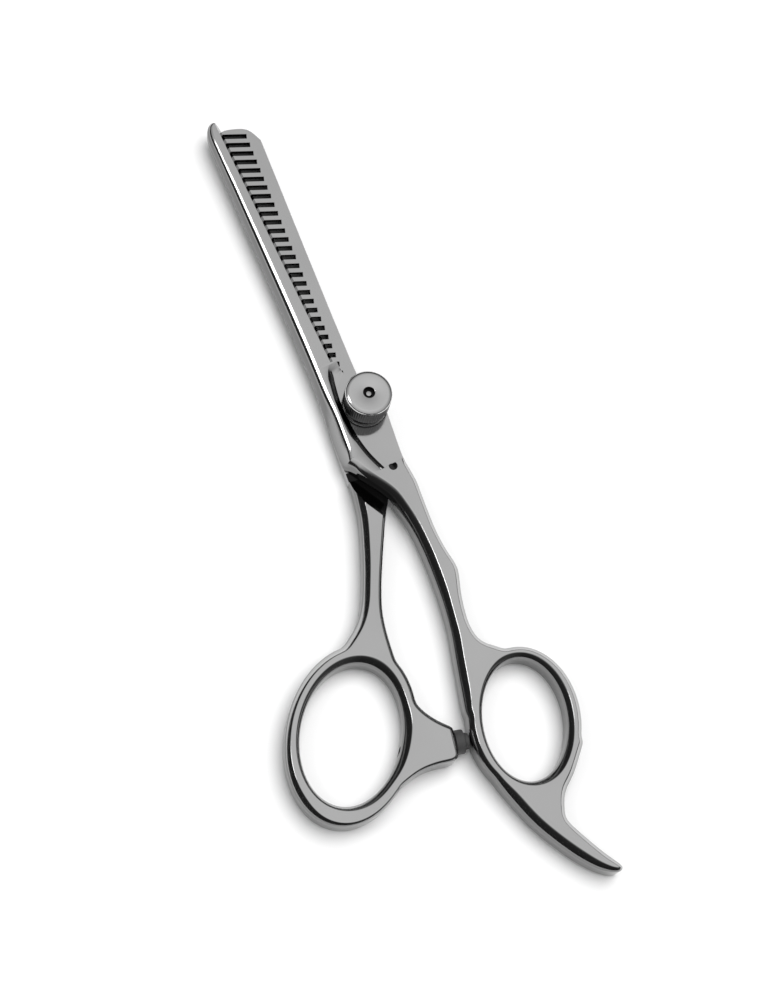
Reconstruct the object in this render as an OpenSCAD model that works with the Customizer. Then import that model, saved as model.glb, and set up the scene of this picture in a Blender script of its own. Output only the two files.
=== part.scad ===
// Thinning shears, closed and lying on their back, with the tension knob on top.
// Origin: on the pivot axis, at the height of the surface that they lie on.
// +Y runs to the blade tips, +X to the comb side, +Z to the tension knob.

/* [Blades] */
// Distance from the pivot axis to the tip of the straight blade
blade_len = 70; // [55:1:85]
// Thickness of each blade and of each half of the pivot body
blade_t = 3; // [2.4:0.1:4]
// Width of the straight blade at its tip, back to cutting edge
blade_tip_w = 3.9; // [3:0.1:4.6]
// Width of the straight blade where its edge ends
blade_root_w = 5.8; // [5:0.1:7]
// Thickness left at the cutting edge
edge_t = 0.3; // [0.2:0.05:0.8]
// Width of the ground strip beside the cutting edge
edge_strip_w = 1.3; // [0.8:0.1:1.8]

/* [Comb] */
// Number of slots cut in the comb blade
slots = 28; // [20:1:32]
// Width of one slot
slot_w = 1.1; // [0.6:0.05:1.3]
// Depth of the solid back of the comb, from its rear edge to the slots
comb_back = 2.5; // [2:0.1:3]
// How far the tooth tips pass beneath the straight blade's edge
tooth_lap = 0.9; // [0.5:0.1:1.4]
// Slope of the slots towards the tip, in degrees
slot_slope = 17; // [8:1:22]

/* [Handles] */
// Distance along Y from the pivot axis to the middle of the finger hole
finger_hole_y = 71.4; // [62:0.2:90]
// Length of the finger hole
finger_hole_len = 24.4; // [20:0.2:30]
// Width of the finger hole
finger_hole_w = 16.8; // [14:0.2:21]
// Length of the thumb hole
thumb_hole_len = 28.2; // [23:0.2:34]
// Width of the thumb hole
thumb_hole_w = 19.6; // [16:0.2:24]
// Width of the band around each hole
ring_band = 2.8; // [2.2:0.1:3.4]

/* [Pivot] */
// Gap between the two blades, kept by the ride washer
ride_gap = 0.1; // [0.05:0.05:0.2]
// Depth of the flat bed under the knob
bed_depth = 1.1; // [0.6:0.1:1.3]
// Diameter of the pivot screw's shank
shank_d = 4; // [3:0.1:5]
// Diameter of the pivot screw's threaded end
thread_d = 3.4; // [2.4:0.1:4]
// Diameter of the pivot screw's head
head_d = 7; // [6:0.1:8]
// Thickness of the pivot screw's head
head_t = 1; // [0.6:0.1:1.2]
// Wall of the bushing in the straight blade
bush_wall = 0.6; // [0.4:0.05:0.9]
// Diameter of the washer between the blades
ride_washer_d = 7.6; // [7:0.1:8.4]
// Thickness of the washer between the blades
ride_washer_t = 0.6; // [0.4:0.05:0.8]
// Radial running clearance of the turning fits
fit = 0.04; // [0.02:0.01:0.08]

/* [Knob] */
// Diameter of the tension knob
knob_d = 9.6; // [8:0.1:12]
// Height of the tension knob
knob_h = 5.2; // [3:0.1:6]
// Thickness of the flat washer under the knob
flat_washer_t = 0.5; // [0.3:0.05:0.8]
// Thickness of the spring washer under the knob
spring_washer_t = 0.5; // [0.3:0.05:0.8]
// Diameter of the hole in the knob's face
knob_eye_d = 2.4; // [1.6:0.1:3]

/* [Bumper] */
// Diameter of the bumper's flange
bumper_d = 4.8; // [3.6:0.1:5.4]
// Length of the bumper in front of the horn
bumper_len = 2.9; // [2:0.1:4]
// Diameter of the stud that the bumper is moulded on
stud_d = 2; // [1.6:0.1:2.6]
// Gap that is left to the finger handle when the shears are closed
bumper_gap = 0.15; // [0.1:0.05:0.4]

/* [Hidden] */
$fn = 64;
// Radial gap drawn where a piece is pressed into its seat
press_gap = 0.01;
// Play along the pivot axis that is drawn between the screw and what it turns in
axial_play = 0.1;
steel = [0.66, 0.66, 0.67];

// Heights
lower_top = blade_t;
upper_z = blade_t + ride_gap;
full_t = 2 * blade_t + ride_gap;
bed_z = full_t - bed_depth;
flat_washer_z = bed_z;
spring_washer_z = flat_washer_z + flat_washer_t;
knob_z = spring_washer_z + spring_washer_t;
ride_washer_z = upper_z - ride_washer_t;
bush_r = shank_d / 2 + fit + bush_wall;

// A smooth curve through points, with `steps` short chords between neighbours
function bend(a, b, c, d, t) = 0.5 * (2 * b + (c - a) * t + (2 * a - 5 * b + 4 * c - d) * t * t
    + (3 * b - a - 3 * c + d) * t * t * t);
function at(p, i) = p[min(max(i, 0), len(p) - 1)];
function curve(p, steps = 4) = [
    for (i = [0 : len(p) - 2])
        for (j = [0 : steps - (i == len(p) - 2 ? 0 : 1)])
            bend(at(p, i - 1), p[i], p[i + 1], at(p, i + 2), j / steps)
];
// An ellipse with its long axis turned `turn` degrees from +Y towards -X
function egg(c, len, w, turn) = [
    for (i = [0 : 71])
        let (u = w / 2 * cos(5 * i), v = len / 2 * sin(5 * i))
            c + [u * cos(turn) - v * sin(turn), u * sin(turn) + v * cos(turn)]
];
// The half-width of a turned ellipse, measured along X through its middle
function half_chord(len, w, turn) =
    1 / sqrt(pow(2 * cos(turn) / w, 2) + pow(2 * sin(turn) / len, 2));
function mix(a, b, t) = a + (b - a) * t;

// Blade heights follow the blade's length, handle heights the finger hole's place
blade_base = 8;
handle_base = 24;
drawn_blade = 70;
drawn_hole = 71.4;
function up(x, y) = [x, y > blade_base
    ? blade_base + (y - blade_base) * (blade_len - blade_base) / (drawn_blade - blade_base) : y];
function down(x, y) = [x, y < -handle_base
    ? -handle_base + (y + handle_base) * (finger_hole_y - handle_base) / (drawn_hole - handle_base)
    : y];

// Straight blade
back_tip_x = -8.1;
back_root_x = -8;
edge_end = up(back_root_x + blade_root_w, 10);
edge_start = up(back_tip_x + blade_tip_w, 64);
edge_turn = atan2(edge_start[0] - edge_end[0], edge_start[1] - edge_end[1]);
weld_y = -19;
front_outline = concat(
    curve([up(-5.9, 70), up(-6.9, 69.6), up(-7.7, 68.3), up(back_tip_x, 66), up(back_tip_x, 60),
           up(back_root_x, 14), [-8.4, 3], [-9, -5], [-9.3, -11]]),
    curve([[-8.4, -12], [-7.2, -13.7], [-5.8, -15.6], [-4.3, -17.7], [-3.5, weld_y]]),
    curve([[3.3, weld_y], [3, -16], [2.7, -13], [3.3, -5], [3.7, 0], [3.3, 2.5], [1.2, 5], [-1.2, 6.6],
           edge_end]),
    curve([edge_start, up(-4.3, 66.5), up(-4.8, 68.7), up(-5.3, 69.6)])
);
// The flat bed that the knob stands on, open to the right
bed_outline = concat(
    curve([[-3.4, 9.6], [-4.1, 6.3], [-4.6, 2.3], [-4.6, -1.1], [-4.3, -5.5], [-3.3, -10], [-1.7, -14]]),
    [[2, -13.5], [6, -13], [6, 9.6]]
);
relief_hole = [-0.2, -14.6];
relief_r = 0.9;

// Comb blade
weld_low_y = -14;
comb_tip = up(0, 68.2);
comb_rear_tip = up(2.9, 64);
comb_rear_root = up(1.4, 9);
tooth_tip_top = [edge_start[0] - tooth_lap, comb_tip[1]];
tooth_tip_low = [edge_end[0] - tooth_lap, blade_base];
comb_outline = concat(
    curve([[tooth_tip_top[0], tooth_tip_top[1]], [-3, comb_tip[1] + 0.3], [1, comb_tip[1] - 0.9],
           comb_rear_tip]),
    curve([comb_rear_tip, comb_rear_root, [2.5, 3], [2.8, -3], [2.1, -9], [0.4, weld_low_y]]),
    curve([[-9.2, weld_low_y], [-8.9, -8], [-8, 0], [-6.6, 5.5], tooth_tip_low])
);
first_slot_y = up(0, 65.8)[1];
last_slot_y = up(0, 8.5)[1];

// Finger handle
finger_mid = [3.8, -finger_hole_y];
finger_turn = -18;
finger_band_len = finger_hole_len + 2 * ring_band - 0.9;
finger_band_w = finger_hole_w + 2 * ring_band;
// Its shank
finger_shank = concat(
    curve([[-3.5, weld_y], [-2.7, -21], down(-1.6, -27), down(-1.3, -32.5), down(-1.5, -38.5),
           down(-2, -44.5), down(-2.9, -50.2), down(-4.2, -55.5), down(-6.2, -64)]),
    [down(4, -64), down(6.5, -58)],
    curve([down(4.8, -56.2), down(2.6, -54.4), down(1.6, -52.6), down(1.3, -49.5), down(2.1, -44.5),
           down(3.5, -39.8), down(3.7, -37.6), down(3.1, -34), down(2.8, -29.5), [3, -24], [3.3, weld_y]])
);
// Its finger rest, drawn from the middle of the finger hole
finger_rest = concat(
    curve([[-11, -3], [-10.4, -8], [-9, -13.3], [-6.6, -19.8], [-2.8, -26.5], [0.4, -30.7],
           [3.1, -33], [5.1, -33.8]]),
    curve([[5.9, -33.2], [5.2, -31.8], [3.3, -28.6], [0.9, -24], [-0.4, -20.9], [0, -18.8],
           [1.6, -15.8], [4.6, -13.2], [8, -9.4]])
);
// The thin shoulders swing inside this radius, so the full thickness starts outside it
layer_swing_r = 21.5;

// Thumb handle
thumb_mid = down(-28.9, -61.9);
thumb_turn = -33.7;
thumb_band_len = thumb_hole_len + 2 * ring_band + 2.2;
thumb_band_w = thumb_hole_w + 2 * ring_band;
thumb_shank = concat(
    curve([[-9.2, weld_low_y], [-9.6, -17.5], down(-10.6, -22.4), down(-12.5, -28),
           down(-14.6, -33.4), down(-17.1, -38.7), down(-19.8, -42.3), down(-24, -45.5)]),
    [down(-24, -50), down(-17.5, -56)],
    curve([down(-15.4, -55), down(-15.2, -51), down(-14.7, -46), down(-13.8, -41.5), down(-12, -36.8),
           down(-9.6, -31.7), down(-7.6, -27.7), [-5.4, -23.4], [-3.6, -20.9]]),
    [[0.4, weld_low_y]]
);
// The ramp between the thin shoulder and the full thickness of the thumb handle
ramp_start = [-8.8, -12.7];
ramp_turn = -59.1;
ramp_run = 3.4;

// Bumper, on an axis that runs from the thumb hole through the horn to the finger handle
bumper_turn = -12;
finger_left = finger_mid[0] - half_chord(finger_band_len, finger_band_w, finger_turn);
bumper_tip = [finger_left - bumper_gap, finger_mid[1] + 0.4];
bumper_flange_t = 1.9;
horn_end = -bumper_len;
horn_upper = 2.7;
horn_lower = 3.9;
stud_len = 11;
stud_z = full_t / 2;

// Rounds the inner corners of a flat shape
module soften(r) {
    offset(r = -r) offset(delta = r) children();
}

module slab(low, high, points) {
    translate([0, 0, low]) linear_extrude(high - low) polygon(points);
}

// Puts a shape on the bumper's axis, with +Z along it and the origin at the bumper's tip
module on_bumper_axis() {
    translate([bumper_tip[0], bumper_tip[1], stud_z])
        rotate([0, 0, bumper_turn]) rotate([0, 90, 0]) children();
}

module tube(outer_r, inner_r, low, high) {
    translate([0, 0, low]) difference() {
        cylinder(r = outer_r, h = high - low);
        translate([0, 0, -1]) cylinder(r = inner_r, h = high - low + 2);
    }
}

// Takes the wedge off the front face between the ground strip and the cutting edge
module edge_grind() {
    grind_angle = atan2(blade_t - edge_t, edge_strip_w);
    translate([edge_end[0], edge_end[1], upper_z + edge_t])
        rotate([0, 0, -edge_turn]) rotate([0, grind_angle, 0])
            translate([-2 * blade_t, 0.5, 0]) cube([4 * blade_t, blade_len, blade_t * 2]);
}

module straight_blade() {
    color(steel) difference() {
        slab(upper_z, full_t, front_outline);
        edge_grind();
        slab(bed_z, full_t + 1, bed_outline);
        translate([relief_hole[0], relief_hole[1], bed_z]) cylinder(r = relief_r, h = bed_depth + 1);
        translate([0, 0, upper_z - 1]) cylinder(r = bush_r, h = blade_t + 2);
    }
}

module finger_handle() {
    color(steel) difference() {
        linear_extrude(full_t) difference() {
            soften(2.5) union() {
                polygon(finger_shank);
                polygon(egg(finger_mid, finger_band_len, finger_band_w, finger_turn));
                translate(finger_mid) polygon(finger_rest);
            }
            polygon(egg(finger_mid, finger_hole_len, finger_hole_w, finger_turn));
        }
        translate([0, 0, -1]) cylinder(r = layer_swing_r, h = upper_z + 1);
    }
}

module comb_slots() {
    for (i = [0 : slots - 1]) {
        t = i / (slots - 1);
        y = mix(first_slot_y, last_slot_y, t);
        rear_x = mix(comb_rear_tip[0], comb_rear_root[0], t) - comb_back;
        translate([rear_x, y, -1]) rotate([0, 0, -slot_slope])
            translate([-12, -slot_w / 2, 0]) cube([12, slot_w, blade_t + 2]);
    }
}

module comb_blade() {
    color(steel) difference() {
        slab(0, lower_top, comb_outline);
        comb_slots();
        translate([0, 0, -1]) cylinder(r = shank_d / 2 + fit / 2, h = blade_t + 2);
        translate([0, 0, -1]) cylinder(r = head_d / 2 + fit, h = head_t + 1 + axial_play);
        translate([0, 0, ride_washer_z]) cylinder(r = ride_washer_d / 2 + fit, h = blade_t);
    }
}

module thumb_ramp() {
    reach = 30;
    translate([ramp_start[0], ramp_start[1], lower_top]) rotate([0, 0, ramp_turn]) {
        translate([-reach, 0, 0]) cube([2 * reach, reach, full_t]);
        rotate([-atan2(full_t - lower_top, ramp_run), 0, 0])
            translate([-reach, -reach, 0]) cube([2 * reach, reach, full_t]);
    }
}

module thumb_handle() {
    color(steel) difference() {
        linear_extrude(full_t) difference() {
            soften(2.5) union() {
                polygon(thumb_shank);
                polygon(egg(thumb_mid, thumb_band_len, thumb_band_w, thumb_turn));
                horn();
            }
            polygon(egg(thumb_mid, thumb_hole_len, thumb_hole_w, thumb_turn));
        }
        thumb_ramp();
        on_bumper_axis() translate([0, 0, -30]) cylinder(r = stud_d / 2 + fit, h = 30);
    }
}

// The horn on the thumb ring that carries the bumper, drawn from the bumper's tip
module horn() {
    translate(bumper_tip) rotate(bumper_turn) polygon(concat(
        [[horn_end, -2.6]],
        curve([[horn_end - 0.3, -horn_lower + 0.4], [horn_end - 1.4, -horn_lower],
               [-7.5, -4.1], [-11, -4.9], [-15, -7], [-20, -10]]),
        curve([[-15, 10], [-10.4, 9.6], [-7.6, 6.4], [-5.4, 4.4], [horn_end, horn_upper]])
    ));
}

module pivot_screw() {
    color([0.6, 0.6, 0.6]) union() {
        cylinder(r = head_d / 2, h = head_t);
        cylinder(r = shank_d / 2, h = knob_z - axial_play);
        translate([0, 0, knob_z - 1]) cylinder(r = thread_d / 2, h = knob_h);
        translate([0, 0, knob_z + 1]) cylinder(r = knob_eye_d / 2 - 0.35, h = knob_h - 1.5);
    }
}

module pivot_bushing() {
    color("gainsboro") tube(bush_r - press_gap, shank_d / 2 + fit, upper_z, bed_z);
}

module ride_washer() {
    color("white") tube(ride_washer_d / 2, shank_d / 2 + fit, ride_washer_z, upper_z);
}

module flat_washer() {
    color("silver") tube(knob_d / 2 - 0.9, shank_d / 2 + fit, flat_washer_z, spring_washer_z);
}

module spring_washer() {
    color("dimgray") tube(knob_d / 2 - 1.1, shank_d / 2 + fit, spring_washer_z, knob_z);
}

module tension_knob() {
    rim = 0.35;
    color([0.7, 0.7, 0.7]) difference() {
        translate([0, 0, knob_z]) rotate_extrude() polygon([
            [0, 0], [knob_d / 2 - rim, 0], [knob_d / 2, rim], [knob_d / 2, knob_h - rim],
            [knob_d / 2 - rim, knob_h], [0, knob_h]
        ]);
        translate([0, 0, knob_z - 1]) cylinder(r = thread_d / 2 + fit, h = knob_h + axial_play);
        translate([0, 0, knob_z - 1]) cylinder(r = knob_eye_d / 2, h = knob_h + 2);
    }
}

module bumper_stud() {
    color("silver") on_bumper_axis() translate([0, 0, -stud_len]) cylinder(r = stud_d / 2, h = stud_len - 1);
}

module bumper() {
    color("dimgray") on_bumper_axis() difference() {
        union() {
            translate([0, 0, horn_end]) cylinder(r = bumper_d / 2, h = bumper_flange_t);
            translate([0, 0, horn_end]) cylinder(r = bumper_d / 2 - 0.8, h = bumper_len);
        }
        translate([0, 0, horn_end - 1]) cylinder(r = stud_d / 2 + fit, h = bumper_len);
    }
}

straight_blade();
finger_handle();
comb_blade();
thumb_handle();
pivot_screw();
pivot_bushing();
ride_washer();
flat_washer();
spring_washer();
tension_knob();
bumper_stud();
bumper();
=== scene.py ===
import math

import bmesh
import bpy
import numpy as np
from mathutils import Matrix, Vector
from mathutils.geometry import tessellate_polygon


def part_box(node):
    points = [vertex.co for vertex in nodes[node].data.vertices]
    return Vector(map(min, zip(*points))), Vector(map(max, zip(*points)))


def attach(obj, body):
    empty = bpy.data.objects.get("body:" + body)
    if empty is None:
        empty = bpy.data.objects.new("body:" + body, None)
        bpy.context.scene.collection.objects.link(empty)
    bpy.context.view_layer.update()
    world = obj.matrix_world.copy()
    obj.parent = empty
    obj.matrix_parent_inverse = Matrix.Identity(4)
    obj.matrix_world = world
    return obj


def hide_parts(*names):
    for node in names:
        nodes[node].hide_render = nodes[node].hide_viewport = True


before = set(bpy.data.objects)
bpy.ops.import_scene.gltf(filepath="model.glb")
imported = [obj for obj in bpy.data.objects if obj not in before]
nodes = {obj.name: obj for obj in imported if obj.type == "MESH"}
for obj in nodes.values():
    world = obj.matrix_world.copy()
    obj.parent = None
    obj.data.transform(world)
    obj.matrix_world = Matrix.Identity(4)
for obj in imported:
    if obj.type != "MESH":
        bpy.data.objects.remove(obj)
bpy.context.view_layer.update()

# Thinning shears: rounded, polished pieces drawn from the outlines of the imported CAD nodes

MM = 0.001

# Heights and joints between pieces, from the frame
REST_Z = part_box("comb_blade")[0].z
LOWER_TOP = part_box("comb_blade")[1].z
RIDE_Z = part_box("straight_blade")[0].z
BED_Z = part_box("flat_washer")[0].z
TOP_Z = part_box("finger_handle")[1].z
WELD_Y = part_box("straight_blade")[0].y
LOW_WELD_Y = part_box("comb_blade")[0].y
BUSH_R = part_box("pivot_bushing")[1].x

# Shapes that the frame doesn't name, as in part.scad
SWING_R = 21.5 * MM
RAMP_FOOT = Vector((-8.8, -12.7, 0)) * MM
RAMP_TURN = math.radians(-59.1)
DOWN_RAMP = Vector((-math.sin(RAMP_TURN), math.cos(RAMP_TURN), 0))
RELIEF_HOLE = Vector((-0.2, -14.6, 0)) * MM
RELIEF_R = 0.9 * MM
BUMPER_TURN = math.radians(-12)
STUD_BORE_R = 1.04 * MM

# Turned pieces are drawn in mm: the thread's depth in the knob, the knurling's depth and number
# of teeth, the thread's radius and the radius of the screw's thin end
KNOB_BORE = 4.3
TOOTH = 0.16
TEETH = 60
THREAD_R = 1.7
END_R = 0.66

# A cutter's reach past the part, and a gap that is taken for none
HUGE = 200 * MM
TINY = 0.01 * MM


# ---------------------------------------------------------------- outlines

def face_edges(node, level):
    """The outer edges of a CAD node's flat faces at one height, as pairs of 2-D points."""
    mesh = nodes[node].data
    seen = {}
    for poly in mesh.polygons:
        corners = [mesh.vertices[i].co for i in poly.vertices]
        if any(abs(c.z - level) > 1e-6 for c in corners):
            continue
        keys = [(round(c.x, 7), round(c.y, 7)) for c in corners]
        for a, b in zip(keys, keys[1:] + keys[:1]):
            if (b, a) in seen:
                del seen[(b, a)]
            else:
                seen[(a, b)] = True
    return list(seen)


def chain(edges):
    """Edges joined end to end into closed loops, the largest first and anticlockwise."""
    follow = {}
    for a, b in edges:
        follow.setdefault(a, []).append(b)
    loops = []
    while follow:
        start = next(iter(follow))
        loop = [start]
        here = follow[start].pop()
        if not follow[start]:
            del follow[start]
        while here != start:
            loop.append(here)
            step = follow[here].pop()
            if not follow[here]:
                del follow[here]
            here = step
        loops.append(np.array(loop))
    return [p if area(p) > 0 else p[::-1] for p in sorted(loops, key=lambda p: -abs(area(p)))]


def area(p):
    """A loop's area, over 0 where it runs anticlockwise."""
    x, y = p[:, 0], p[:, 1]
    return 0.5 * float(np.sum(x * np.roll(y, -1) - np.roll(x, -1) * y))


def opened(loop, y):
    """An outline opened at its longest straight edge at height y, as a path between corners."""
    ahead = np.roll(loop, -1, axis=0)
    level = (abs(loop[:, 1] - y) < TINY) & (abs(ahead[:, 1] - y) < TINY)
    length = np.where(level, abs(ahead[:, 0] - loop[:, 0]), 0)
    return np.roll(loop, -(int(np.argmax(length)) + 1), axis=0)


def blurred(values, reach, share):
    """A closed row of values smoothed by a bell curve; share is its spread in steps."""
    shifts = range(-reach, reach + 1)
    weights = [math.exp(-0.5 * (s / share) ** 2) for s in shifts]
    return sum(w * np.roll(values, s, axis=0) for w, s in zip(weights, shifts)) / sum(weights)


def even(loop, step, blur):
    """A closed loop resampled at even steps and smoothed over `blur` metres."""
    closed = np.vstack([loop, loop[:1]])
    run = np.concatenate([[0], np.cumsum(np.linalg.norm(np.diff(closed, axis=0), axis=1))])
    at = np.linspace(0, run[-1], max(24, int(run[-1] / step)), endpoint=False)
    p = np.column_stack([np.interp(at, run, closed[:, k]) for k in (0, 1)])
    return blurred(p, int(4 * blur / step), blur / step)


def inward(p, solid_inside):
    """Unit normals that point into the metal."""
    along = np.roll(p, -1, axis=0) - np.roll(p, 1, axis=0)
    along /= np.linalg.norm(along, axis=1)[:, None]
    left = np.column_stack([-along[:, 1], along[:, 0]])
    return left if (area(p) > 0) == solid_inside else -left


def room(p, n, others, shares, wanted):
    """The wanted width of rounding at each point, less where the metal is too narrow for it."""
    best = wanted.copy()
    for q, share in zip(others, shares):
        for i in range(len(p)):
            d = q - p[i]
            ahead = d @ n[i]
            near = ahead > 1e-6
            if near.any():
                radius = np.min(np.sum(d[near] ** 2, axis=1) / (2 * ahead[near]))
                best[i] = min(best[i], share * radius)
    return blurred(best, 12, 4)


# ---------------------------------------------------------------- meshes

def new_object(name, verts, faces, sharp=30):
    """A smooth mesh object that faces outward, with creases at edges over `sharp` degrees."""
    mesh = bpy.data.meshes.new(name)
    mesh.from_pydata([tuple(v) for v in verts], [], faces)
    bm = bmesh.new()
    bm.from_mesh(mesh)
    bmesh.ops.remove_doubles(bm, verts=bm.verts, dist=1e-7)
    bmesh.ops.recalc_face_normals(bm, faces=bm.faces)
    bm.to_mesh(mesh)
    bm.free()
    mesh.shade_smooth()
    mesh.set_sharp_from_angle(angle=math.radians(sharp))
    obj = bpy.data.objects.new(name, mesh)
    bpy.context.scene.collection.objects.link(obj)
    return obj


# Slope of a shaped edge, in degrees, at shares of its width from the wall to the flat face:
# a handle's broad facet, the straight blade's narrow ridge, and the ridge beside the pivot
HANDLE_SLOPES = [(0, 88), (0.03, 78), (0.15, 62), (0.22, 50), (0.3, 48), (0.6, 44), (0.85, 39),
                 (0.93, 14), (1, 2)]
BLADE_SLOPES = [(0, 88), (0.06, 72), (0.34, 53), (0.38, 49), (0.52, 38), (0.58, 28), (0.82, 20),
                (0.88, 10), (1, 3)]
BODY_SLOPES = [(0, 58), (0.3, 54), (0.6, 51), (0.64, 47), (0.71, 38), (0.75, 28), (0.9, 20),
               (0.94, 10), (1, 3)]
# Straight steps drawn between two of those slopes
SLOPE_STEPS = 3

# The bottom edge's rounding: its width and height as shares of the top's, and its steps
BOTTOM_WIDTH = 0.6
BOTTOM_HEIGHT = 0.72
BOTTOM_STEPS = 8

# How much of the metal's free width a rounding takes at most, towards the outside and a hole:
# first for the outer edge, then for a hole's edge
SHARES = ((0.85, 0.85), (0.9, 0.85))


def facet(slopes):
    """(share of the width, drop below the flat face as a share of the width) along an edge."""
    points = [(1.0, 0.0)]
    for (s0, a0), (s1, a1) in reversed(list(zip(slopes, slopes[1:]))):
        step = (s1 - s0) / SLOPE_STEPS
        for i in range(SLOPE_STEPS):
            slope = math.radians(a1 + (a0 - a1) * (i + 0.5) / SLOPE_STEPS)
            s, drop = points[-1]
            points.append((s - step, drop + step * math.tan(slope)))
    return np.array(points)


def edge_rows(w, kind):
    """A shaped edge from the bottom face round to the top one, as rows of inward distance and
    height. kind is 0 for a handle's edge, 1 for the blade's and 2 for the one by the pivot."""
    bottom_w = BOTTOM_WIDTH * w
    bottom_h = BOTTOM_HEIGHT * w
    rows = [(bottom_w + 0.1 * MM, np.full(len(w), REST_Z))]
    for i in range(BOTTOM_STEPS + 1):
        a = math.pi / 2 * i / BOTTOM_STEPS
        rows.append((bottom_w * (1 - math.sin(a)), REST_Z + bottom_h * (1 - math.cos(a))))
    to_blade = np.clip(kind, 0, 1)
    to_body = np.clip(kind - 1, 0, 1)
    shapes = [facet(slopes)[::-1] for slopes in (HANDLE_SLOPES, BLADE_SLOPES, BODY_SLOPES)]
    for handle, blade, body in zip(*shapes):
        share, drop = (handle[k] + (blade[k] - handle[k]) * to_blade + (body[k] - blade[k]) * to_body
                       for k in (0, 1))
        rows.append((share * w, TOP_Z - drop * w))
    rows.append((w + 0.05 * MM, np.full(len(w), TOP_Z)))
    return rows


def rounded_solid(name, loops, limits, step=0.35 * MM, blur=0.5 * MM):
    """A flat piece with shaped edges. loops[0] is the outside, the other is a hole. limits give
    each loop's rounding width and kind of edge from its points and inward normals."""
    smooth = [even(p, step, blur) for p in loops]
    verts = []
    faces = []
    ends = ([], [])
    for k, p in enumerate(smooth):
        n = inward(p, k == 0)
        wanted, kind = limits[k](p, n)
        w = room(p, n, smooth, SHARES[k], wanted)
        rows = edge_rows(w, blurred(kind, 15, 5))
        first = len(verts)
        m = len(p)
        for inset, z in rows:
            q = p + n * inset[:, None]
            verts += [(x, y, h) for (x, y), h in zip(q, z)]
        for r in range(len(rows) - 1):
            for i in range(m):
                a = first + r * m + i
                b = first + r * m + (i + 1) % m
                faces.append((a, b, b + m, a + m))
        ends[0].append((first, m))
        ends[1].append((first + (len(rows) - 1) * m, m))
    for group in ends:
        rings = [[Vector(verts[s + i]) for i in range(m)] for s, m in group]
        index = [s + i for s, m in group for i in range(m)]
        for tri in tessellate_polygon(rings):
            faces.append(tuple(index[i] for i in tri))
    return new_object(name, verts, faces)


def cut(obj, *cutters):
    """obj less each cutter, as a plain mesh; the cutters are removed."""
    for cutter in cutters:
        mod = obj.modifiers.new("cut", "BOOLEAN")
        mod.operation = "DIFFERENCE"
        mod.solver = "MANIFOLD"
        mod.object = cutter
        bpy.context.view_layer.update()
        ready = obj.evaluated_get(bpy.context.evaluated_depsgraph_get())
        mesh = bpy.data.meshes.new_from_object(ready)
        obj.modifiers.clear()
        obj.data = mesh
        bpy.data.objects.remove(cutter)
    obj.data.set_sharp_from_angle(angle=math.radians(30))
    return obj


def copy_of(obj, name):
    twin = bpy.data.objects.new(name, obj.data.copy())
    bpy.context.scene.collection.objects.link(twin)
    return twin


def box_between(low, high):
    """A box cutter between two corners."""
    x0, y0, z0 = low
    x1, y1, z1 = high
    verts = [(x, y, z) for z in (z0, z1) for y in (y0, y1) for x in (x0, x1)]
    faces = [(0, 2, 3, 1), (4, 5, 7, 6), (0, 1, 5, 4), (1, 3, 7, 5), (3, 2, 6, 7), (2, 0, 4, 6)]
    return new_object("cutter", verts, faces)


def prism(points, low, high):
    """A plain prism between two copies of a closed row of 2-D points along local Z."""
    m = len(points)
    verts = [(x, y, z) for z in (low, high) for x, y in points]
    faces = [(i, (i + 1) % m, (i + 1) % m + m, i + m) for i in range(m)]
    faces += [tuple(range(m))[::-1], tuple(range(m, 2 * m))]
    return new_object("cutter", verts, faces)


def round_cutter(radius, low, high, sides=128):
    """A drill on local Z, between two heights."""
    turns = [2 * math.pi * i / sides for i in range(sides)]
    return prism([(radius * math.cos(a), radius * math.sin(a)) for a in turns], low, high)


def turned_piece(name, rows, sides, teeth=0, sharp=35):
    """A ring turned about Z from a closed row of (radius, height, tooth depth), in mm."""
    verts = []
    for r, z, depth in rows:
        for i in range(sides):
            a = 2 * math.pi * i / sides
            dip = depth * (0.5 - 0.5 * math.cos(teeth * a)) if teeth else 0
            verts.append(((r - dip) * MM * math.cos(a), (r - dip) * MM * math.sin(a), z * MM))
    faces = []
    for k in range(len(rows)):
        low = k * sides
        high = (k + 1) % len(rows) * sides
        for i in range(sides):
            j = (i + 1) % sides
            faces.append((low + i, low + j, high + j, high + i))
    return new_object(name, verts, faces, sharp)


# ---------------------------------------------------------------- materials

def math_node(tree, operation, a, b):
    """A Math node between two inputs, each a socket or a number."""
    node = tree.nodes.new("ShaderNodeMath")
    node.operation = operation
    for socket, value in zip(node.inputs, (a, b)):
        if isinstance(value, (int, float)):
            socket.default_value = value
        else:
            tree.links.new(value, socket)
    return node.outputs[0]


def spread(tree, source, low, high, start=0.0, end=1.0):
    """A socket's value, from start to end, mapped to low-high."""
    node = tree.nodes.new("ShaderNodeMapRange")
    node.inputs["From Min"].default_value = start
    node.inputs["From Max"].default_value = end
    node.inputs["To Min"].default_value = low
    node.inputs["To Max"].default_value = high
    tree.links.new(source, node.inputs["Value"])
    return node.outputs["Result"]


def axes(tree, vector):
    """The X, Y and Z outputs of a vector socket, by name."""
    node = tree.nodes.new("ShaderNodeSeparateXYZ")
    tree.links.new(vector, node.inputs["Vector"])
    return node.outputs


def noise(tree, place, scale, detail):
    """A noise texture's 0-1 value."""
    node = tree.nodes.new("ShaderNodeTexNoise")
    node.inputs["Scale"].default_value = scale
    node.inputs["Detail"].default_value = detail
    tree.links.new(place, node.inputs["Vector"])
    return node.outputs["Fac"]


def material(name):
    """A new material, with its node tree, its shader and the place on the object."""
    mat = bpy.data.materials.new(name)
    mat.use_nodes = True
    tree = mat.node_tree
    place = tree.nodes.new("ShaderNodeTexCoord").outputs["Object"]
    return mat, tree, tree.nodes["Principled BSDF"], place


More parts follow.
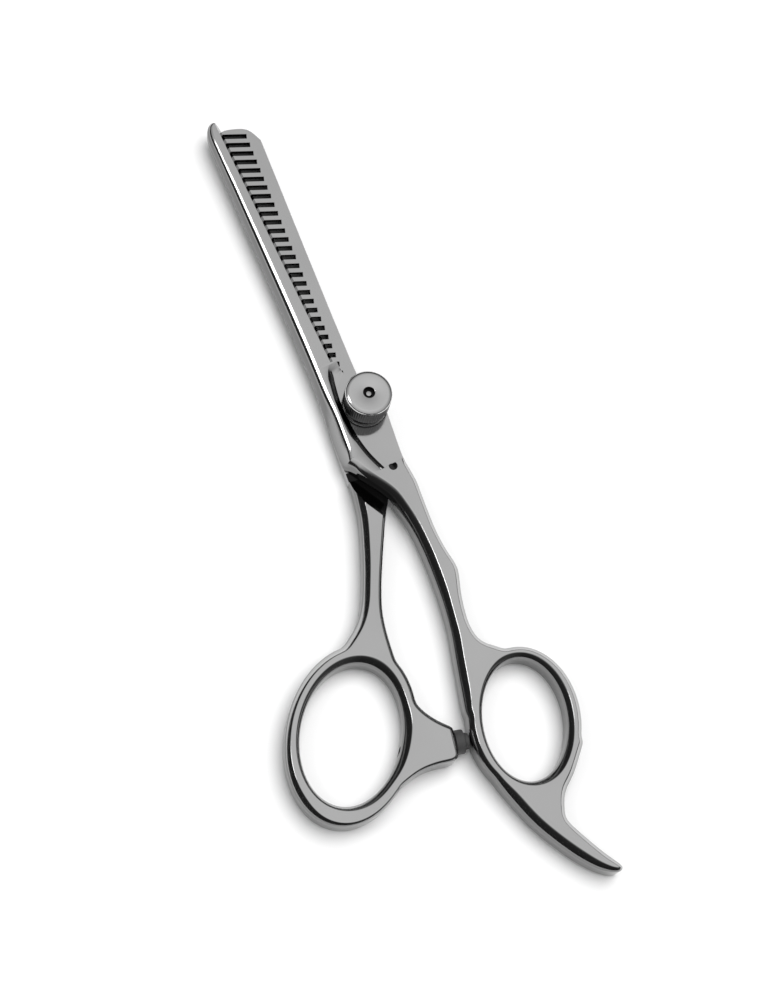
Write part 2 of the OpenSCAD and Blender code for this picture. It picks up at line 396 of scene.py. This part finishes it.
def bumped(tree, shader, height, strength, distance):
    """Gives a shader fine relief from a height socket."""
    bump = tree.nodes.new("ShaderNodeBump")
    bump.inputs["Strength"].default_value = strength
    bump.inputs["Distance"].default_value = distance
    tree.links.new(height, bump.inputs["Height"])
    tree.links.new(bump.outputs["Normal"], shader.inputs["Normal"])


def steel(name, colour=0.6, rough=0.11, grain=0.03, paint_shade=None):
    """Polished steel with fine polishing grain and faint cloudy wear. The optional darkening
    function of (tree, place) gives painted shade: how bright each surface is painted where dark
    reflections and shade fall."""
    mat, tree, shader, place = material(name)
    shader.inputs["Metallic"].default_value = 1.0
    stretch = tree.nodes.new("ShaderNodeMapping")
    stretch.inputs["Scale"].default_value = (3.0, 0.5, 1.0)
    tree.links.new(place, stretch.inputs["Vector"])
    grit = noise(tree, stretch.outputs["Vector"], 900.0, 5.0)
    cloud = noise(tree, place, 60.0, 3.0)
    tone = spread(tree, cloud, 0.92 * colour, 1.08 * colour)
    if paint_shade:
        tone = math_node(tree, "MULTIPLY", tone, paint_shade(tree, place))
    tree.links.new(tone, shader.inputs["Base Color"])
    wear = math_node(tree, "ADD", spread(tree, cloud, -0.03, 0.03), spread(tree, grit, -0.04, 0.04))
    tree.links.new(math_node(tree, "ADD", wear, rough), shader.inputs["Roughness"])
    bumped(tree, shader, grit, grain, 0.02 * MM)
    return mat


def facing_up(tree):
    """How far the surface faces up or down, from 0 on an upright wall to 1."""
    normal = axes(tree, tree.nodes.new("ShaderNodeTexCoord").outputs["Normal"])
    return math_node(tree, "ABSOLUTE", normal["Z"], 0)


# Painted shade in the steel's colour: how bright steep side walls are painted, standing in for their
# dark reflections, and the walls between the comb's teeth, standing in for the shade in the slots
WALL_PAINTED_SHADE = 0.32
SLOT_PAINTED_SHADE = 0.03


def steep_wall_painted_shade(tree, place):
    """Painted shade: a dark tone on steep side walls, standing in for their dark reflections, and 1
    on the faces.
    """
    return spread(tree, facing_up(tree), WALL_PAINTED_SHADE, 1.0, 0.5, 0.8)


def comb_shade(tree, place):
    """Painted shade: a near-black tone on the walls between the comb's teeth and on the shoulder by
    the ramp, else 1.
    """
    at = axes(tree, place)
    upright = math_node(tree, "LESS_THAN", facing_up(tree), 0.3)
    on_blade = math_node(tree, "GREATER_THAN", at["Y"], 7.5 * MM)
    inside = math_node(tree, "LESS_THAN", at["X"], 0.9 * MM)
    walls = math_node(tree, "MULTIPLY", math_node(tree, "MULTIPLY", upright, on_blade), inside)
    on_top = math_node(tree, "GREATER_THAN", at["Z"], LOWER_TOP - 0.1 * MM)
    low = math_node(tree, "LESS_THAN", at["Y"], -12 * MM)
    shoulder = math_node(tree, "MULTIPLY", on_top, low)
    return spread(tree, math_node(tree, "MAXIMUM", walls, shoulder), 1.0, SLOT_PAINTED_SHADE)


def plain(name, colour, rough_low, rough_high, grit_scale):
    """A plain moulded plastic or rubber with a fine uneven skin."""
    mat, tree, shader, place = material(name)
    grit = noise(tree, place, grit_scale, 4.0)
    tree.links.new(spread(tree, grit, 0.8 * colour, 1.2 * colour), shader.inputs["Base Color"])
    tree.links.new(spread(tree, grit, rough_low, rough_high), shader.inputs["Roughness"])
    bumped(tree, shader, grit, 0.2, 0.05 * MM)
    return mat


def dress(obj, *mats):
    """Gives an object its materials, the first of them on every face."""
    obj.data.materials.clear()
    for mat in mats:
        obj.data.materials.append(mat)


# Painted shade: the polished steel is painted darker on its steep walls
polished = steel("polished_steel", paint_shade=steep_wall_painted_shade)
# Painted shade: the comb's steel is painted near-black in its slots and on the shoulder by the ramp
comb_steel = steel("comb_steel", paint_shade=comb_shade)
knob_face = steel("knob_face", colour=0.66, rough=0.14)
# Painted shade: a near-black steel for the bed's left wall, the relief hole and the ramp
shaded = steel("shade_painted_steel", colour=0.05, rough=0.25, grain=0.05)
# Painted shade: the knob's knurled side is painted dark
knurled = steel("knurled_steel", colour=0.1, rough=0.3, grain=0.1)
turned = steel("turned_steel", rough=0.2, grain=0.05)
# Painted shade: a black steel for the knob's eye, the screw's end in it and the washers under the
# knob
black_painted_shade = steel("steel_painted_black_shade", colour=0.02, rough=0.4, grain=0.1)
nylon = plain("nylon", colour=0.75, rough_low=0.35, rough_high=0.5, grit_scale=1500.0)
rubber = plain("rubber", colour=0.05, rough_low=0.4, rough_high=0.65, grit_scale=2500.0)


# ---------------------------------------------------------------- front half

def front_outline():
    """The straight blade and the finger handle as one outline, without the weld between them."""
    blade = opened(chain(face_edges("straight_blade", RIDE_Z))[0], WELD_Y)
    handle_loops = chain(face_edges("finger_handle", TOP_Z))
    handle = opened(handle_loops[0], WELD_Y)
    return [np.vstack([blade[:-1], handle[:-1]]), handle_loops[1]]


# In mm along Y: the front half's neck, the upper end of its bed and the start of the blade's tip
NECK_Y = -13
BED_END_Y = 9
TIP_Y = 66

# Width of the straight blade's left edge, in mm, against the height along the blade
LEFT_EDGE_Y = [-12.7, -6, 0, 7, 16, 47, 59, 67]
LEFT_EDGE_W = [2.8, 2.75, 2.6, 2.1, 2.2, 2.2, 1.6, 1.4]


def front_limits(p, n):
    """Broad rounding on walls that face -X, narrow on the right, none on the cutting edge."""
    x = p[:, 0] / MM
    y = p[:, 1] / MM
    faces_left = 0.5 + 0.5 * n[:, 0]
    handle = 1.0 + 0.85 * faces_left
    left_edge = np.interp(y, LEFT_EDGE_Y, LEFT_EDGE_W)
    blade = np.where(n[:, 0] > 0.2, left_edge, np.where(y > TIP_Y, 0.5, 0.06))
    pivot = np.where(x > -4.5, 0.2, left_edge)
    width = np.where(y > BED_END_Y, blade, np.where(y > NECK_Y, pivot, handle))
    kind = np.where(y > NECK_Y, 1 + np.clip((6 - y) / 7, 0, 1), 0)
    return width * MM, kind


def hole_limits(p, n):
    """Broad rounding on the walls of a finger hole that face -X."""
    faces_left = 0.5 + 0.5 * n[:, 0]
    return (0.8 + 1.1 * faces_left) * MM, np.zeros(len(p))


def bed_cutter():
    """The space over the flat bed, open to the right: a sloped wall on the left, a steep lower
    end and a gentle upper one."""
    floor_loop = chain(face_edges("straight_blade", BED_Z))[0]
    on_wall = (floor_loop[:, 0] < -1.6 * MM) & (floor_loop[:, 1] > -14.05 * MM)
    wall = np.array(sorted(floor_loop[on_wall], key=lambda q: -q[1]))
    at = np.linspace(wall[0, 1], wall[-1, 1], 60)
    wall = np.column_stack([np.interp(at, wall[::-1, 1], wall[::-1, 0]), at])
    along = np.gradient(wall, axis=0)
    out = np.column_stack([along[:, 1], -along[:, 0]]) / np.linalg.norm(along, axis=1)[:, None]
    below_end = wall[0, 1] - at
    lean = 1.3 * MM * np.clip(below_end / (3 * MM), 0.1, 1)
    upper_lean = 2.4 * MM
    upper = upper_lean * np.clip(1 - below_end / (4 * MM), 0, 1)
    depth = TOP_Z - BED_Z
    # Each level's height and lean, as shares of the whole
    levels = [(0, 0), (0.5, 0.46), (0.96, 0.94), (1, 1), (2, 2)]
    verts = []
    for rise, share in levels:
        rim = wall + out * (lean * share)[:, None]
        rim[:, 1] += share * upper
        lower = np.array([(2, -13.5), (9, -12.8)]) * MM - (0, 0.3 * MM * share)
        corner = np.array([(9 * MM, 9.6 * MM + upper_lean * share)])
        verts += [(x, y, BED_Z + rise * depth) for x, y in np.vstack([rim, lower, corner])]
    m = len(verts) // len(levels)
    faces = []
    for r in range(len(levels) - 1):
        for i in range(m):
            j = (i + 1) % m
            faces.append((r * m + i, r * m + j, r * m + j + m, r * m + i + m))
    faces += [tuple(range(m)), tuple(range(len(verts) - m, len(verts)))]
    return new_object("cutter", verts, faces)


def relief_cutter():
    """The small round relief at the lower end of the bed."""
    drill = round_cutter(RELIEF_R, BED_Z - 0.3 * MM, 2 * TOP_Z, 48)
    drill.data.transform(Matrix.Translation(RELIEF_HOLE))
    return drill


def grind_cutter():
    """A block over the CAD blade's ground strip, square to it."""
    mesh = nodes["straight_blade"].data
    strips = [f for f in mesh.polygons if f.normal.x > 0.5 and 0.2 < f.normal.z < 0.8]
    strip = max(strips, key=lambda f: f.area)
    corners = [mesh.vertices[i].co for f in strips for i in f.vertices
               if f.normal.dot(strip.normal) > 0.999]
    out = strip.normal.normalized()
    along = Vector((0, 0, 1)).cross(out).normalized()
    across = out.cross(along)
    start = min(corners, key=lambda c: c.dot(along))
    block = box_between((0, -HUGE / 10, 0), (HUGE, HUGE / 10, HUGE / 10))
    turn = Matrix((along, across, out)).transposed().to_4x4()
    block.data.transform(Matrix.Translation(start) @ turn)
    return block


def front_half():
    """The finger handle and the straight blade, shaped as one solid and parted at the weld."""
    solid = rounded_solid("finger_handle_polished", front_outline(), (front_limits, hole_limits))
    blade = copy_of(solid, "straight_blade_polished")
    cut(solid, box_between((-HUGE, WELD_Y, -HUGE), (HUGE, HUGE, HUGE)),
        round_cutter(SWING_R, -1 * MM, RIDE_Z))
    cut(blade, box_between((-HUGE, -HUGE, -HUGE), (HUGE, WELD_Y, HUGE)),
        box_between((-HUGE, -HUGE, -HUGE), (HUGE, HUGE, RIDE_Z)),
        grind_cutter(), bed_cutter(), relief_cutter(), round_cutter(BUSH_R, 0, 2 * TOP_Z))
    dress(solid, polished)
    dress(blade, polished, shaded)
    # Painted shade: the relief hole and the bed's left wall get the near-black steel
    for poly in blade.data.polygons:
        middle = poly.center
        sunk = BED_Z - 0.4 * MM < middle.z < TOP_Z - 0.02 * MM
        in_relief = (middle - RELIEF_HOLE).xy.length < 1.02 * RELIEF_R
        bed_wall = middle.z > BED_Z + 0.02 * MM and poly.normal.x > 0.3 and middle.x < -1 * MM
        if sunk and (in_relief or bed_wall and LOW_WELD_Y < middle.y < BED_END_Y * MM):
            poly.material_index = 1
    return solid, blade


# ---------------------------------------------------------------- back half

def thumb_outline():
    """The thumb handle's outline, carried 6 mm past its weld so that its end isn't rounded."""
    loops = chain(face_edges("thumb_handle", REST_Z))
    path = opened(loops[0], LOW_WELD_Y)
    past = np.array((0, 6 * MM))
    return [np.vstack([path[:1] + past, path, path[-1:] + past]), loops[1]]


def thumb_limits(p, n):
    """Rounding that is broader on walls that face -X and narrower on those that face -Y."""
    faces_left = 0.5 + 0.5 * n[:, 0]
    faces_down = np.clip(n[:, 1], 0, 1)
    return (1.0 + 0.7 * faces_left) * (1 - 0.6 * faces_down) * MM, np.zeros(len(p))


def ramp_cutter():
    """The space over the thumb handle's thin shoulder, with a hollow-ground ramp up to the full
    thickness."""
    run = 3.4 * MM
    reach = 30 * MM
    steps = 10
    high = TOP_Z - LOWER_TOP
    side = [(reach, LOWER_TOP), (0, LOWER_TOP)]
    for i in range(1, steps + 1):
        t = i / steps
        side.append((-run * t, LOWER_TOP + high * (0.55 * t + 0.45 * t * t)))
    side += [(-run - 1.5 * MM, TOP_Z + 2 * MM), (reach, TOP_Z + 2 * MM)]
    block = prism(side, -reach, reach)
    up = Vector((0, 0, 1))
    turn = Matrix((DOWN_RAMP, up, DOWN_RAMP.cross(up))).transposed().to_4x4()
    block.data.transform(Matrix.Translation(RAMP_FOOT) @ turn)
    return block


def bumper_axis():
    """The middle of the bumper's stud, and the direction in which the bumper points."""
    points = [v.co for v in nodes["bumper_stud"].data.vertices]
    middle = sum(points, Vector()) / len(points)
    return middle, Vector((math.cos(BUMPER_TURN), math.sin(BUMPER_TURN), 0))


def on_bumper_axis(obj, middle):
    """Turns a piece made along Z to point along the bumper, at the place `middle`."""
    turn = Vector((0, 0, 1)).rotation_difference(bumper_axis()[1]).to_matrix().to_4x4()
    obj.data.transform(Matrix.Translation(middle) @ turn)
    return obj


def thumb_handle():
    """The thumb handle, with its ramp and with the bumper stud's bore across the horn."""
    bore = on_bumper_axis(round_cutter(STUD_BORE_R, -22 * MM, 10 * MM, 48), bumper_axis()[0])
    obj = rounded_solid("thumb_handle_polished", thumb_outline(), (thumb_limits, hole_limits))
    cut(obj, box_between((-HUGE, LOW_WELD_Y, -HUGE), (HUGE, HUGE, HUGE)), ramp_cutter(), bore)
    dress(obj, polished, shaded)
    # Painted shade: the ramp gets the near-black steel
    for poly in obj.data.polygons:
        middle = poly.center
        sunk = LOWER_TOP - TINY < middle.z < TOP_Z - 0.02 * MM
        faces_ramp = poly.normal.dot(DOWN_RAMP) > -0.01 and poly.normal.z > 0.5
        if sunk and faces_ramp and middle.y > -24 * MM:
            poly.material_index = 1
    return obj


# ---------------------------------------------------------------- pivot and bumper

def knob():
    """A turned knob: knurled side, small chamfers, dished face and an eye."""
    low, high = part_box("tension_knob")
    r = high.x / MM
    z = low.z / MM
    top = high.z / MM
    bore = THREAD_R + 0.04
    eye = 1.2
    bore_top = z + KNOB_BORE
    rows = [(bore, z, 0), (r - 0.4, z, 0), (r - 0.3, z + 0.04, 0), (r, z + 0.35, TOOTH),
            (r, z + 0.5, TOOTH), (r, z + 2, TOOTH), (r, top - 0.9, TOOTH), (r, top - 0.7, TOOTH),
            (r - 0.02, top - 0.6, 0), (r - 0.05, top - 0.45, 0), (r - 0.15, top - 0.3, 0),
            (r - 0.3, top - 0.19, 0), (r - 0.65, top - 0.04, 0), (r - 0.8, top, 0),
            (r - 1, top, 0), (eye + 0.1, top, 0), (eye + 0.02, top - 0.04, 0),
            (eye, top - 0.12, 0), (eye, bore_top, 0), (bore, bore_top, 0)]
    obj = turned_piece("tension_knob_turned", rows, 360, TEETH)
    dress(obj, knob_face, knurled, black_painted_shade)
    # Painted shade on the knurled side
    for poly in obj.data.polygons:
        from_axis = poly.center.xy.length / MM
        height = poly.center.z / MM
        if from_axis > r - 0.35 and height < top - 0.6:
            poly.material_index = 1
        # Painted shade in the knob's eye
        if from_axis < bore + 0.02 and height < top - 0.1:
            poly.material_index = 2
    return obj


def screw():
    """The pivot screw: slotted head at the back, domed end in the knob's eye."""
    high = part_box("pivot_screw")[1]
    head_r = high.x / MM
    end = high.z / MM
    knob_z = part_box("tension_knob")[0].z / MM
    thread_start = knob_z - 0.1
    thread_end = knob_z + KNOB_BORE - 0.1
    rows = [(0.01, 0, 0), (head_r - 0.25, 0, 0), (head_r - 0.05, 0.08, 0), (head_r, 0.25, 0),
            (head_r, 1, 0), (2, 1, 0), (2, thread_start, 0), (THREAD_R, thread_start, 0),
            (THREAD_R, thread_end, 0), (END_R, thread_end, 0), (END_R, end - 0.5, 0),
            (0.62, end - 0.34, 0), (0.5, end - 0.22, 0), (0.25, end - 0.16, 0),
            (0.01, end - 0.15, 0)]
    obj = turned_piece("pivot_screw_turned", rows, 96)
    slot = box_between((-5 * MM, -0.5 * MM, -1 * MM), (5 * MM, 0.5 * MM, 0.55 * MM))
    slot.data.transform(Matrix.Rotation(math.radians(35), 4, "Z"))
    obj = cut(obj, slot)
    dress(obj, turned, black_painted_shade)
    # Painted shade on the thread's end face at the bottom of the knob's eye
    for poly in obj.data.polygons:
        if abs(poly.center.z - thread_end * MM) < 0.05 * MM:
            poly.material_index = 1
    return obj


def washer(name, node, teeth=0, depth=0):
    """A washer with small chamfers and, where teeth are asked for, a toothed rim."""
    low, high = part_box(node)
    z0 = low.z / MM
    z1 = high.z / MM
    r = high.x / MM
    bore = 2.04
    rows = [(bore, z0, 0), (r - 0.1, z0, 0), (r, z0 + 0.1, depth), (r, z1 - 0.1, depth),
            (r - 0.1, z1, 0), (bore, z1, 0)]
    return turned_piece(name, rows, 240, teeth)


def bumper():
    """The rubber bumper: a thick flange and a short blunt tip, hollow where the stud fills it."""
    middle, ahead = bumper_axis()
    tips = [v.co.dot(ahead) for v in nodes["bumper"].data.vertices]
    length = (max(tips) - min(tips)) / MM
    bore = STUD_BORE_R / MM
    rows = [(bore, 0.02, 0), (2.1, 0.02, 0), (2.32, 0.1, 0), (2.4, 0.3, 0), (2.4, 1.6, 0),
            (2.32, 1.8, 0), (2.1, 1.9, 0), (1.72, 1.95, 0), (1.62, 2.05, 0),
            (1.6, length - 0.35, 0), (1.5, length - 0.12, 0), (1.25, length - 0.01, 0),
            (0.01, length, 0), (0.01, length - 1, 0), (bore, length - 1, 0)]
    obj = turned_piece("bumper_moulded", rows, 64)
    foot = middle + ahead * (min(tips) - middle.dot(ahead))
    return on_bumper_axis(obj, foot)


def place(obj, body, node, slot, *mats):
    """Dresses a piece, puts it under its body and hides the CAD node that it stands for; slot is not
    used.
    """
    if mats:
        dress(obj, *mats)
    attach(obj, body)
    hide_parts(node)


finger, blade = front_half()
place(finger, "finger_half", "finger_handle", "polished_steel")
place(blade, "finger_half", "straight_blade", "polished_steel")
place(thumb_handle(), "thumb_half", "thumb_handle", "polished_steel")
place(knob(), "knob", "tension_knob", "knob_steel")
place(screw(), "thumb_half", "pivot_screw", "screw_steel")
# Painted shade: the washers under the knob are painted black
place(washer("flat_washer_serrated", "flat_washer", 60, 0.12), "finger_half", "flat_washer",
      "washer_steel", black_painted_shade)
place(washer("spring_washer_waved", "spring_washer"), "finger_half", "spring_washer",
      "spring_steel", black_painted_shade)
place(bumper(), "thumb_half", "bumper", "bumper_rubber", rubber)

dress(nodes["comb_blade"], comb_steel)
dress(nodes["bumper_stud"], turned)
for name in ("pivot_bushing", "ride_washer"):
    dress(nodes[name], nylon)


# ---------------------------------------------------------------- stage

# Brightness of the surroundings against the height of the direction (-1 down, 1 up): a dark
# band over the horizon, deeper on the left, as in a studio with black cards round a light tent
LEFT_SKY = [(-1, 0.8), (0, 0.8), (0.03, 0.02), (0.42, 0.03), (0.6, 0.32), (0.8, 0.52), (1, 0.74)]
RIGHT_SKY = [(-1, 0.8), (0, 0.8), (0.03, 0.05), (0.34, 0.06), (0.5, 0.32), (0.75, 0.52), (1, 0.74)]


def sky_ramp(tree, height, stops):
    """A grey from the row of (height, brightness), with height as a 0-1 socket."""
    ramp = tree.nodes.new("ShaderNodeValToRGB")
    band = ramp.color_ramp
    while len(band.elements) < len(stops):
        band.elements.new(0.5)
    for element, (at, value) in zip(band.elements, stops):
        element.position = 0.5 + 0.5 * at
        element.color = (value, value, value, 1)
    tree.links.new(height, ramp.inputs["Fac"])
    return ramp.outputs["Color"]


def world_light():
    """The dark band and the bright top in the steel and the light, plain white to the camera."""
    world = bpy.data.worlds.new("studio")
    bpy.context.scene.world = world
    world.use_nodes = True
    tree = world.node_tree
    tree.nodes.clear()
    toward = axes(tree, tree.nodes.new("ShaderNodeTexCoord").outputs["Generated"])
    height = spread(tree, toward["Z"], 0.0, 1.0, -1.0, 1.0)
    blend = tree.nodes.new("ShaderNodeMix")
    blend.data_type = "RGBA"
    tree.links.new(spread(tree, toward["X"], 0.0, 1.0, -0.25, 0.25), blend.inputs["Factor"])
    tree.links.new(sky_ramp(tree, height, LEFT_SKY), blend.inputs["A"])
    tree.links.new(sky_ramp(tree, height, RIGHT_SKY), blend.inputs["B"])
    sky = tree.nodes.new("ShaderNodeBackground")
    tree.links.new(blend.outputs["Result"], sky.inputs["Color"])
    white = tree.nodes.new("ShaderNodeBackground")
    white.inputs["Color"].default_value = (1, 1, 1, 1)
    ray = tree.nodes.new("ShaderNodeLightPath")
    mix = tree.nodes.new("ShaderNodeMixShader")
    tree.links.new(ray.outputs["Is Camera Ray"], mix.inputs["Fac"])
    tree.links.new(sky.outputs["Background"], mix.inputs[1])
    tree.links.new(white.outputs["Background"], mix.inputs[2])
    out = tree.nodes.new("ShaderNodeOutputWorld")
    tree.links.new(mix.outputs["Shader"], out.inputs["Surface"])


def floor():
    """A matt white floor just under the shears."""
    bpy.ops.mesh.primitive_plane_add(size=4.0, location=(0, 0, REST_Z - 0.05 * MM))
    obj = bpy.context.object
    obj.name = "floor"
    mat = bpy.data.materials.new("floor_white")
    mat.use_nodes = True
    shader = mat.node_tree.nodes["Principled BSDF"]
    shader.inputs["Base Color"].default_value = (0.93, 0.93, 0.93, 1)
    shader.inputs["Roughness"].default_value = 0.9
    shader.inputs["Specular IOR Level"].default_value = 0.0
    obj.data.materials.append(mat)


def sun(name, toward, angle, strength, mirrored=True):
    """A soft lamp as far away as the sun, in the direction `toward`."""
    light = bpy.data.lights.new(name, "SUN")
    light.angle = math.radians(angle)
    light.energy = strength
    obj = bpy.data.objects.new(name, light)
    bpy.context.scene.collection.objects.link(obj)
    obj.rotation_euler = Vector(toward).to_track_quat("Z", "Y").to_euler()
    obj.visible_glossy = mirrored


def camera():
    """The photograph's view: from above, leaning 21 degrees towards the thumb ring."""
    aim = Vector((-3.57, -20.32, 4.0)) * MM
    distance = 400 * MM
    lean = math.radians(21)
    roll = math.radians(-23.65)
    aside = Vector((-0.69, -0.724, 0)).normalized()
    away = aside * math.sin(lean) + Vector((0, 0, math.cos(lean)))
    along = Vector((0, 1, 0))
    up = Matrix.Rotation(roll, 3, away) @ (along - away * along.dot(away)).normalized()
    right = up.cross(away)
    data = bpy.data.cameras.new("camera")
    data.sensor_fit = "VERTICAL"
    data.sensor_height = 36
    data.lens = 72
    obj = bpy.data.objects.new("camera", data)
    bpy.context.scene.collection.objects.link(obj)
    turn = Matrix((right, up, away)).transposed().to_4x4()
    obj.matrix_world = Matrix.Translation(aim + away * distance) @ turn
    bpy.context.scene.camera = obj


world_light()
floor()
# The key lamp casts the shadow but doesn't show in the steel; the glint is its one white line
sun("key", (0.3, 0.12, 0.94), 50, 2.3, mirrored=False)
sun("glint", (-0.55, 0.3, 0.78), 16, 0.3)
camera()
bpy.context.scene.view_settings.view_transform = "Standard"
